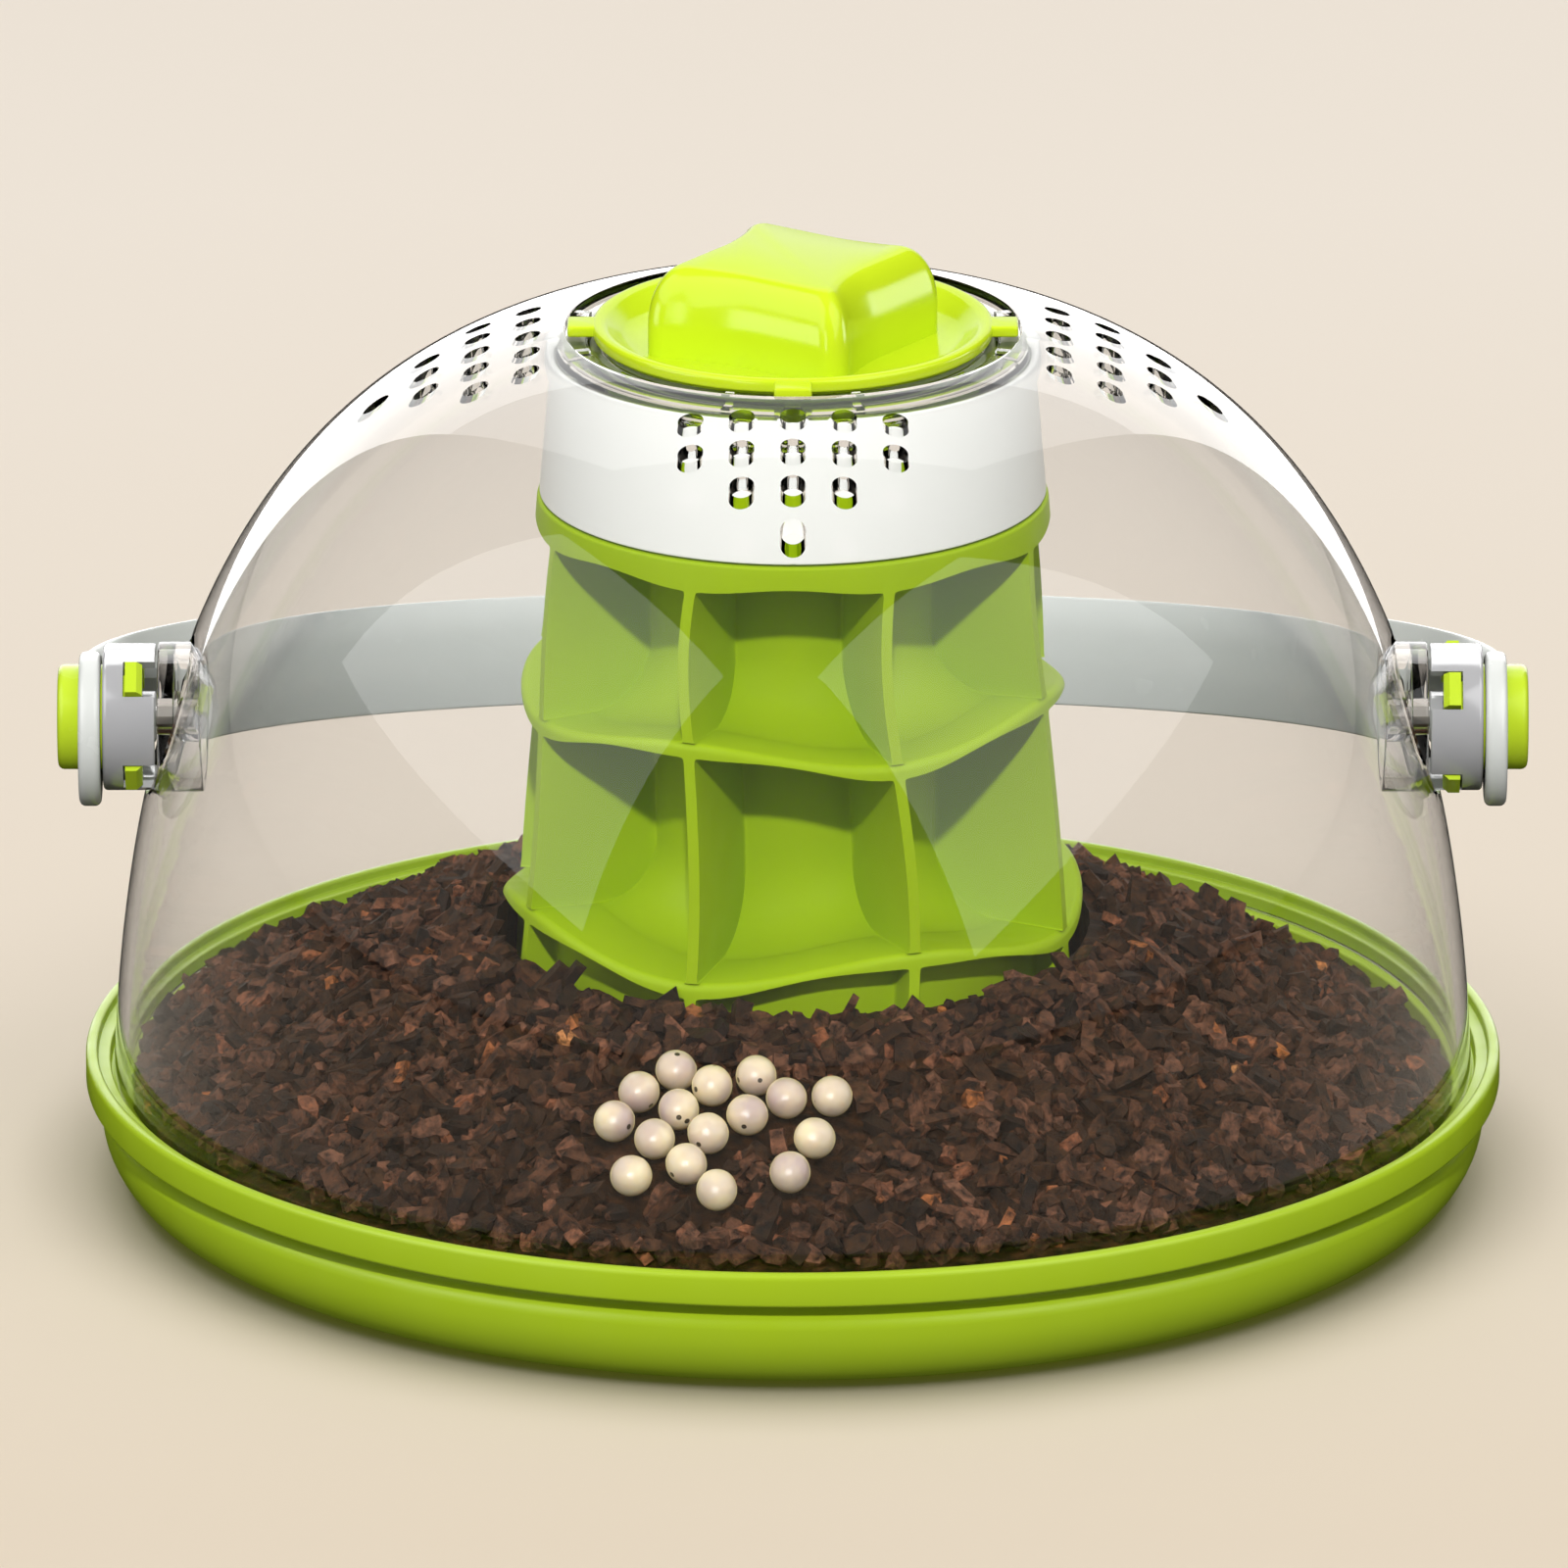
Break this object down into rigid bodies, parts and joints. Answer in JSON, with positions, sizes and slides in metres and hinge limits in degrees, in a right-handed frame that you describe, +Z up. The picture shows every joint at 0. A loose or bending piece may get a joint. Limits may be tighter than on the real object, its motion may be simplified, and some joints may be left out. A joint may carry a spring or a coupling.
{
  "type": "terrarium",
  "caption": "Round terrarium: shallow tray with soil and eggs, compartment tower, clear vented dome, twist cap and strap handle on push-button pivots.",
  "frame": {"origin": "centre of the tray's underside", "axes": "+Z up, -Y the pictured front, +X along the handle's pivots"},
  "size_m": [0.207, 0.2002, 0.1352],
  "materials": {
    "lime_plastic": "smooth moulded gloss",
    "leaf_plastic": "satin moulded",
    "clear_plastic": "clear and polished",
    "white_plastic": "satin moulded",
    "pale_grey_plastic": "satin moulded",
    "silicone": "soft translucent",
    "steel": "zinc-plated",
    "bark_soil": "loose bark chips and soil",
    "egg": "pearly with fine specks"
  },
  "bodies": {
    "base": {"base_tray": "lime_plastic", "substrate_bed": "bark_soil", "tower_tier_lower": "leaf_plastic", "tower_tier_middle": "leaf_plastic", "tower_tier_upper": "leaf_plastic", "collar": "white_plastic", "egg_01": "egg", "egg_02": "egg", "egg_03": "egg", "egg_04": "egg", "egg_05": "egg", "egg_06": "egg", "egg_07": "egg", "egg_08": "egg", "egg_09": "egg", "egg_10": "egg", "egg_11": "egg", "egg_12": "egg", "egg_13": "egg", "egg_14": "egg", "egg_15": "egg", "egg_16": "egg"},
    "dome": {"dome": "clear_plastic", "dome_neck": "clear_plastic", "pivot_boss_left": "clear_plastic", "pivot_boss_right": "clear_plastic", "pivot_screw_left": "steel", "pivot_screw_right": "steel", "pivot_washer_left": "steel", "pivot_washer_right": "steel"},
    "handle": {"handle_strap": "pale_grey_plastic", "hub_left": "pale_grey_plastic", "hub_right": "pale_grey_plastic"},
    "button_left": {"button_left": "lime_plastic", "button_spring_left": "steel"},
    "button_right": {"button_right": "lime_plastic", "button_spring_right": "steel"},
    "cap_seal": {"cap_seal": "silicone"},
    "cap": {"cap": "lime_plastic"}
  },
  "joints": [
    {"name": "dome_lift", "type": "slide", "parent": "base", "child": "dome", "axis": [0, 0, 1], "range_m": [0, 0.13]},
    {"name": "handle_swing", "type": "hinge", "parent": "dome", "child": "handle", "pos_m": [0, 0, 0.0672], "axis": [1, 0, 0], "range_deg": [0, 206]},
    {"name": "button_left_press", "type": "slide", "parent": "handle", "child": "button_left", "axis": [1, 0, 0], "range_m": [0, 0.0015], "stiffness_N_per_m": 400, "deforming": ["button_spring_left"]},
    {"name": "button_right_press", "type": "slide", "parent": "handle", "child": "button_right", "axis": [-1, 0, 0], "range_m": [0, 0.0015], "stiffness_N_per_m": 400, "deforming": ["button_spring_right"]},
    {"name": "cap_lift", "type": "slide", "parent": "dome", "child": "cap_seal", "axis": [0, 0, 1], "range_m": [0, 0.06]},
    {"name": "cap_turn", "type": "hinge", "parent": "cap_seal", "child": "cap", "pos_m": [0, 0, 0.1246], "axis": [0, 0, 1], "range_deg": [-10, 10]}
  ]
}
